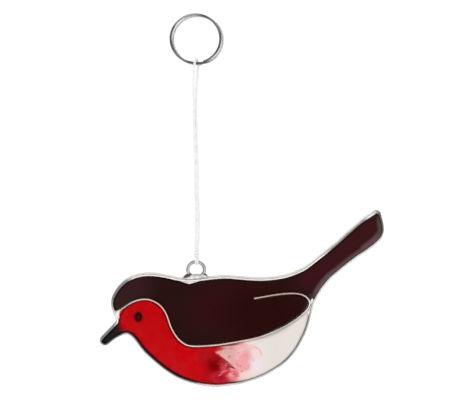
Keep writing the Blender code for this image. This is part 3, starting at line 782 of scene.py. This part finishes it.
def marbled(look, colour, sideways):
    """Fine curls and paler strands where the red and the white pours mix."""
    curls = look.ramp(look.noise(0.0026, 4.0, where=look.warped(0.003, 0.0016)), 0.54, 0.66)
    curls = look.math("MULTIPLY", curls, look.blob(look.place, *CURLS))
    tint = look.mix(look.ramp(sideways, *PALE_CURLS_AT), srgb(214, 60, 72), srgb(222, 128, 138))
    colour = look.mix(look.math("MULTIPLY", curls, CURLS_SHARE), colour, tint)
    cloud = look.noise(0.0034, 3.0, where=look.warped(0.0045, 0.0030), stretch=(1.0, 1.0, 0.6))
    strands = look.math("MULTIPLY", look.ramp(cloud, 0.50, 0.60), look.ramp(cloud, 0.60, 0.70, 1.0, 0.0))
    strands = look.math("MULTIPLY", strands, look.blob(look.place, *PALE_STRANDS))
    return look.mix(look.math("MULTIPLY", strands, PALE_STRANDS_SHARE), colour, srgb(244, 204, 203))


def strip_profile(thickness):
    """The strip's section, as (to the left of its path, along Y) points."""
    return rounded_rectangle(thickness, STRIP_DEPTH, STRIP_LIP_RADIUS, STRIP_CORNER_STEPS)


def strip_section(path, thickness, widths=None):
    """The section at each point of a strip's path, wavering a little as hand-bent metal does."""
    plain = strip_profile(thickness)

    def section(i):
        place = Vector((path[i].x, 0, path[i].y)) / STRIP_WAVER_LENGTH
        wide = 1 - STRIP_THICKNESS_WAVER * abs(noise.noise(place))
        level = STRIP_LEVEL_WAVER * abs(noise.noise(place + STRIP_LEVEL_WAVER_SHIFT))
        if widths:
            wide *= widths[i]
        return [(a * wide, b + (level if b < 0 else -level)) for a, b in plain]

    return section


def make_outline_strip(surface):
    """The strip round the bird. Its path runs counterclockwise, so the left of it is the bird's inside."""
    outer = evenly(loops_at("outline_strip", -STRIP_DEPTH / 2)[0], STRIP_SPACING, closed=True)
    path = offset(softened(outer, STRIP_SOFTENING), STRIP_THICKNESS / 2)
    plain = strip_profile(STRIP_THICKNESS)
    tip = Vector((-STRIP_THICKNESS / 2, -STRIP_DEPTH / 2))
    at_corner = [(Vector(p) - tip).length < OUTER_CORNER_REACH for p in plain]
    inside = [a > 0 and b < 0 for a, b in plain]
    bm = bmesh.new()
    corner = bm.verts.layers.float.new("outer_corner")
    inner = bm.verts.layers.float.new("inner_side")
    rows = flat_rows(path, True, strip_section(path, STRIP_THICKNESS))
    for ring in add_loft(bm, rows, closed=True):
        for vert, cornered, turned_in in zip(ring, at_corner, inside):
            vert[corner] = float(cornered)
            vert[inner] = float(turned_in)
    mesh = mesh_from("outline_strip_metal", bm)
    return link("outline_strip_metal", mesh, surface, "strip_metal", ["outline_strip"])


def divider_path():
    """The middle of the divider, from the forehead to its free end under the wing."""
    loop = evenly(loops_at("divider_strip", -STRIP_DEPTH / 2)[0], STRIP_SPACING, closed=True)
    start = loop.index(min(loop, key=lambda p: p.x))
    loop = loop[start:] + loop[:start]
    half = len(loop) // 2
    left, right = loop[:half], loop[half:]
    middle = []
    for point in left:
        other = min(right, key=lambda q: (q - point).length)
        width = (other - point).length
        if abs(width - STRIP_THICKNESS) < DIVIDER_WIDTH_TOLERANCE * STRIP_THICKNESS:
            middle.append((point + other) / 2)
    trimmed = round(DIVIDER_END_TRIM / STRIP_SPACING)
    middle = softened_path(middle[trimmed:-trimmed], STRIP_SOFTENING)
    back = (middle[0] - middle[1]).normalized()
    ahead = (middle[-1] - middle[-2]).normalized()
    to_start = reach_of(loop, middle[0], back) + DIVIDER_UNDER_OUTLINE
    to_tip = reach_of(loop, middle[-1], ahead) - DIVIDER_THICKNESS / 2
    return [middle[0] + back * to_start, *middle, middle[-1] + ahead * to_tip]


def reach_of(loop, place, direction):
    """How far the loop goes on in this direction from a place by its end."""
    near = [p - place for p in loop if (p - place).length < DIVIDER_END_REACH]
    return max(p.dot(direction) for p in near)


def make_divider_strip(surface):
    """The strip between the pours, with its free end rounded."""
    path = evenly(divider_path(), STRIP_SPACING)
    tip = (path[-1] - path[-2]).normalized() * DIVIDER_THICKNESS / 2
    shares = [math.sin(math.pi / 2 * (i + 1) / DIVIDER_TIP_STEPS) for i in range(DIVIDER_TIP_STEPS)]
    widths = [1.0] * len(path)
    widths += [max(DIVIDER_TIP_WIDTH, math.sqrt(1 - share**2)) for share in shares]
    path += [path[-1] + tip * share for share in shares]
    bm = bmesh.new()
    add_loft(bm, flat_rows(path, False, strip_section(path, DIVIDER_THICKNESS, widths)))
    mesh = mesh_from("divider_strip_metal", bm)
    return link("divider_strip_metal", mesh, surface, "strip_metal", ["divider_strip"])


def melted(name, loop, level, surface, smoothing, lumps=()):
    """Solder: a prism from this level through to the back, and round lumps, run together and smoothed."""
    bm = bmesh.new()
    for place in lumps:
        bmesh.ops.create_icosphere(
            bm,
            subdivisions=FOOT_LUMP_SUBDIVISIONS,
            radius=FOOT_LUMP_RADIUS,
            matrix=Matrix.Translation(place),
        )
    add_loft(bm, [[Vector((p.x, y, p.y)) for p in loop] for y in (level, -level)])
    obj = bpy.data.objects.new(name, mesh_from(name, bm))
    bpy.context.scene.collection.objects.link(obj)
    remesh = obj.modifiers.new("melt", "REMESH")
    remesh.mode = "VOXEL"
    remesh.voxel_size = SOLDER_VOXEL
    ease = obj.modifiers.new("ease", "SMOOTH")
    ease.iterations = smoothing
    graph = bpy.context.evaluated_depsgraph_get()
    mesh = bpy.data.meshes.new_from_object(obj.evaluated_get(graph))
    bpy.data.objects.remove(obj)
    for vert in mesh.vertices:
        push = noise.noise(vert.co / SOLDER_LUMP_LENGTH) * SOLDER_LUMP
        vert.co += vert.normal * push
    mesh.shade_smooth()
    mesh.name = name
    return link(name, mesh, surface, "strip_metal")


def make_solder(surface):
    """Fills where the strips meet, and the pad that the eyelet's feet stand on."""
    made = []
    for number, loop in enumerate(loops_at("outline_strip", SOLDER_LEVEL), 1):
        fill = offset(evenly(loop, STRIP_SPACING, closed=True), -SOLDER_OVERLAP)
        made.append(melted(f"solder_fill_{number}", fill, SOLDER_LEVEL, surface, FILL_SMOOTHING))
    for number, loop in enumerate(loops_at("outline_strip", PAD_LEVEL), 1):
        pad = evenly(loop, STRIP_SPACING, closed=True)
        top = max(p.y for p in pad)
        foot_x = math.sqrt(EYELET_RADIUS**2 - (top - EYELET_CENTRE.z) ** 2)
        lumps = [Vector((side * foot_x, 0, top - FOOT_LUMP_SINK)) for side in (-1, 1)]
        made.append(melted(f"solder_pad_{number}", pad, PAD_LEVEL, surface, PAD_SMOOTHING, lumps))
    return made


def make_eyelet(surface):
    """A closed ring of round wire."""
    rows = []
    for i in range(EYELET_STEPS):
        angle = 2 * math.pi * i / EYELET_STEPS
        out = Vector((math.cos(angle), 0, math.sin(angle)))
        centre = EYELET_CENTRE + out * EYELET_RADIUS
        row = []
        for a, b in circle(EYELET_WIRE / 2, EYELET_WIRE_STEPS):
            row.append(centre + out * a + Vector((0, b, 0)))
        rows.append(row)
    bm = bmesh.new()
    add_loft(bm, rows, closed=True)
    return link("eyelet_wire", mesh_from("eyelet_wire", bm), surface, "eyelet_metal", ["eyelet"])


def make_split_ring(surface):
    """Two turns of wire, the rear one sprung a little to the right of the front one and lower."""
    radius = (RING_DIAMETER - RING_WIRE) / 2
    pitch = RING_WIRE + RING_TURN_GAP
    rear_centre_z = RING_WIRE / 2 - radius
    section = rounded_rectangle(RING_WIRE, RING_WIRE, RING_CORNER_RADIUS, RING_CORNER_STEPS)
    rows = []
    for i in range(RING_STEPS + 1):
        turned = RING_SWEEP * i / RING_STEPS
        angle = RING_START_ANGLE + turned
        crossing = (turned - (RING_SWEEP - RING_CROSSING) / 2) / RING_CROSSING
        t = min(1.0, max(0.0, crossing))
        rear = t * t * (3 - 2 * t)
        out = Vector((math.cos(angle), 0, math.sin(angle)))
        x = RING_CENTRE_X + RING_REAR_SHIFT_X * rear
        z = rear_centre_z + RING_REAR_DROP * (1 - rear) - RING_SAG * rear
        centre = Vector((x, pitch * (rear - 0.5), z))
        rows.append([centre + out * (radius + a) + Vector((0, b, 0)) for a, b in section])
    bm = bmesh.new()
    add_loft(bm, rows)
    return link("split_ring_wire", mesh_from("split_ring_wire", bm), surface, "ring_metal", ["split_ring"])


def plied(radius, twist):
    """A section of plied cord, its lobes turned by the twist."""
    points = []
    for x, z in circle(1.0, CORD_SECTION_POINTS):
        angle = math.atan2(z, x)
        lobe = radius * (1 + CORD_PLY_DEPTH * math.cos(CORD_PLIES * (angle - twist)))
        points.append((x * lobe, z * lobe))
    return points


def add_plied_tube(bm, path, radius):
    path = evenly(path, CORD_STEP)
    twist = 2 * math.pi * (path[1] - path[0]).length / CORD_TWIST_LENGTH / CORD_PLIES
    add_loft(bm, tube_rows(path, lambda i: plied(radius, twist * i)))


def make_cord(surface):
    path = smooth([Vector(p) for p in CORD_ROUTE], CORD_PIECES)
    bm = bmesh.new()
    add_plied_tube(bm, path, CORD_DIAMETER / 2)
    cord = link("cord_loop", mesh_from("cord_loop", bm), surface, "white_cord", ["hanging_cord"])


def add_wraps(bm, middle, rise):
    """The cord wound down round a core, in turns that are widest at the knot's middle."""
    wrap_radius = (KNOT_DIAMETER - KNOT_STRAND) / 2
    path = []
    steps = KNOT_WRAP_STEPS * KNOT_WRAPS
    for i in range(steps + 1):
        along = i / steps
        angle = 2 * math.pi * KNOT_WRAPS * along
        radius = wrap_radius * (KNOT_END_SHARE + (1 - KNOT_END_SHARE) * math.sin(math.pi * along))
        height = middle + rise / 2 - rise * along
        path.append(Vector((KNOT_X + radius * math.cos(angle), radius * math.sin(angle), height)))
    add_plied_tube(bm, path, KNOT_STRAND / 2)
    core = [Vector((KNOT_X, 0, middle + rise / 2)), Vector((KNOT_X, 0, middle - rise / 2))]
    add_plied_tube(bm, smooth(core, KNOT_CORE_PIECES), KNOT_STRAND / 2)


def add_tie(bm, x, start_z):
    """A strand from inside the knot, round under the eyelet's wire and back."""
    wire_top = EYELET_CENTRE.z + EYELET_RADIUS
    reach = (EYELET_WIRE + TIE_STRAND) / 2
    start = Vector((KNOT_X + x * TIE_GATHER, 0, start_z))
    path = [start]
    for degrees in TIE_ANGLES:
        angle = math.radians(degrees)
        path.append(Vector((KNOT_X + x, -reach * math.cos(angle), wire_top + reach * math.sin(angle))))
    path.append(start)
    add_plied_tube(bm, smooth(path, TIE_PIECES), TIE_STRAND / 2)


def make_knot(surface):
    """A wrapped knot with two short strands looped round the eyelet's wire."""
    bm = bmesh.new()
    middle = KNOT_TOP - KNOT_LENGTH / 2
    rise = KNOT_LENGTH - KNOT_STRAND
    add_wraps(bm, middle, rise)
    for x in TIE_STRANDS_X:
        add_tie(bm, x, middle - rise / 4)
    return link("knot", mesh_from("knot", bm), surface, "white_cord", ["cord_knot"])


def resin_points(loop, strip_face, rim):
    """The points of a pour: its rim, rows along the strips, and a grid of triangles between them."""
    points = list(rim)
    for reach in RESIN_EDGE_ROWS:
        row = offset(strip_face, reach)
        far = distances(row, strip_face)
        points += [p for p, d in zip(row, far) if d > reach - RESIN_ROW_TOLERANCE]
    low = Vector((min(p.x for p in loop), min(p.y for p in loop)))
    high = Vector((max(p.x for p in loop), max(p.y for p in loop)))
    grid = []
    row_height = RESIN_GRID * math.sqrt(3) / 2
    for j in range(math.ceil((high.y - low.y) / row_height)):
        for i in range(math.ceil((high.x - low.x) / RESIN_GRID)):
            grid.append(low + Vector(((i + 0.5 * (j % 2)) * RESIN_GRID, j * row_height)))
    far = distances(grid, strip_face)
    return points + [p for p, d in zip(grid, far) if d > RESIN_EDGE_WIDTH + RESIN_GRID / 2]


def resin_levels(place, inward):
    """The depths of a pour's front and back. Inward goes from 0 at the strips to 1 past the rolled edge."""
    fall = 1 - math.sqrt(max(0.0, 1 - (1 - inward) ** 2))
    wave = RESIN_WAVE * noise.noise(Vector((place.x, 0, place.y)) / RESIN_WAVE_LENGTH)
    front = RESIN_FRONT_LEVEL + RESIN_EDGE_DROP * fall + wave * inward
    back = RESIN_BACK_LEVEL - RESIN_BACK_EDGE_DROP * fall - wave * inward
    return front, back


def make_resin(name, node, slot, surface):
    """A pour with a glossy front that rolls down to the strips, and a flatter back."""
    loop = evenly(loops_at(node, RESIN_BACK_LEVEL)[0], RESIN_GRID, closed=True)
    strip_face = offset(loop, -RESIN_GAP)
    rim = offset(strip_face, -RESIN_UNDER_STRIP)
    points = resin_points(loop, strip_face, rim)
    edge = range(len(rim))
    corners, _, triangles, _, _, inside = delaunay_2d_cdt(points, [], [list(edge)], 0, SAME_POINT)
    triangles = [t for t, owners in zip(triangles, inside) if owners]
    used = sorted({i for t in triangles for i in t})
    from_strip = dict(zip(used, distances([corners[i] for i in used], strip_face)))

    bm = bmesh.new()
    layer = bm.verts.layers.float.new("from_strip")
    fronts, backs = {}, {}
    for i in used:
        gap = 0.0 if i in edge else from_strip[i]
        levels = resin_levels(corners[i], min(1.0, gap / RESIN_EDGE_WIDTH))
        for group, y in zip((fronts, backs), levels):
            group[i] = bm.verts.new((corners[i].x, y, corners[i].y))
            group[i][layer] = gap
    for t in triangles:
        bm.faces.new([fronts[i] for i in t])
        bm.faces.new([backs[i] for i in reversed(t)])
    directed = {(t[k], t[(k + 1) % 3]) for t in triangles for k in range(3)}
    for a, b in directed:
        if (b, a) not in directed:
            bm.faces.new((fronts[b], fronts[a], backs[a], backs[b]))
    return link(name, mesh_from(name, bm), surface, slot, [node])


def add_light(name, place, width, height, radiance, lit):
    """A rectangular softbox or card of this radiance. All but the key are only mirrored."""
    data = bpy.data.lights.new(name, "AREA")
    data.shape = "RECTANGLE"
    data.size = width
    data.size_y = height
    data.energy = radiance * math.pi * width * height
    obj = bpy.data.objects.new(name, data)
    bpy.context.scene.collection.objects.link(obj)
    obj.location = place
    obj.rotation_euler = (CAMERA_AIM - Vector(place)).to_track_quat("-Z", "Y").to_euler()
    obj.visible_camera = False
    obj.visible_diffuse = name == "key"
    if lit:
        seen_by = bpy.data.collections.new(f"{name}_lit")
        for piece in lit:
            seen_by.objects.link(piece)
        obj.light_linking.receiver_collection = seen_by


def make_camera():
    data = bpy.data.cameras.new("camera")
    data.sensor_width = CAMERA_SENSOR
    data.lens = CAMERA_SENSOR * CAMERA_DISTANCE / (IMAGE_WIDTH * METRES_PER_PIXEL)
    data.clip_end = CAMERA_REACH
    camera = bpy.data.objects.new("camera", data)
    bpy.context.scene.collection.objects.link(camera)
    back = Vector((0, -math.cos(CAMERA_ELEVATION), math.sin(CAMERA_ELEVATION)))
    camera.location = CAMERA_AIM + back * CAMERA_DISTANCE
    camera.rotation_euler = (-back).to_track_quat("-Z", "Y").to_euler()
    bpy.context.scene.camera = camera


def floor_paint():
    """Matt white, very faintly clouded."""
    look = Surface("floor_paint", Roughness=0.9, Specular_IOR_Level=0.0)
    clouds = look.noise(FLOOR_CLOUD_SIZE, 2.0)
    look.set("Base Color", look.mix(clouds, (0.98, 0.98, 0.98), (0.99, 0.99, 0.99)))
    return look.material


def make_floor():
    bm = bmesh.new()
    bmesh.ops.create_grid(bm, x_segments=1, y_segments=1, size=FLOOR_HALF_SIDE)
    floor = link("floor", mesh_from("floor", bm), floor_paint())
    floor.location.z = FLOOR_LEVEL
    floor.visible_glossy = False


def make_studio(lit):
    """A white floor and surround, a soft key light, and cards that the metal and the resin mirror."""
    world = bpy.data.worlds.new("studio")
    bpy.context.scene.world = world
    world.use_nodes = True
    background = world.node_tree.nodes["Background"]
    background.inputs["Color"].default_value = (1.0, 1.0, 1.0, 1.0)
    background.inputs["Strength"].default_value = WORLD_STRENGTH
    world.cycles_visibility.glossy = False

    make_floor()
    for name, place, width, height, radiance, group in LIGHTS:
        add_light(name, place, width, height, radiance, lit.get(group))
    bpy.context.scene.view_settings.view_transform = "Standard"


make_camera()
cotton = cord_cotton()
knot = make_knot(cotton)
make_cord(cotton)

strip = strip_metal()
strips = [make_outline_strip(strip), make_divider_strip(strip), *make_solder(solder_metal())]
strips.append(make_eyelet(eyelet_metal()))
rings = [make_split_ring(ring_metal())]
make_resin("brown_resin_panel", "brown_panel", "brown_resin", brown_resin())
make_resin("red_white_resin_panel", "red_white_panel", "red_white_resin", red_white_resin())
make_studio({"strips": strips, "rings": rings})
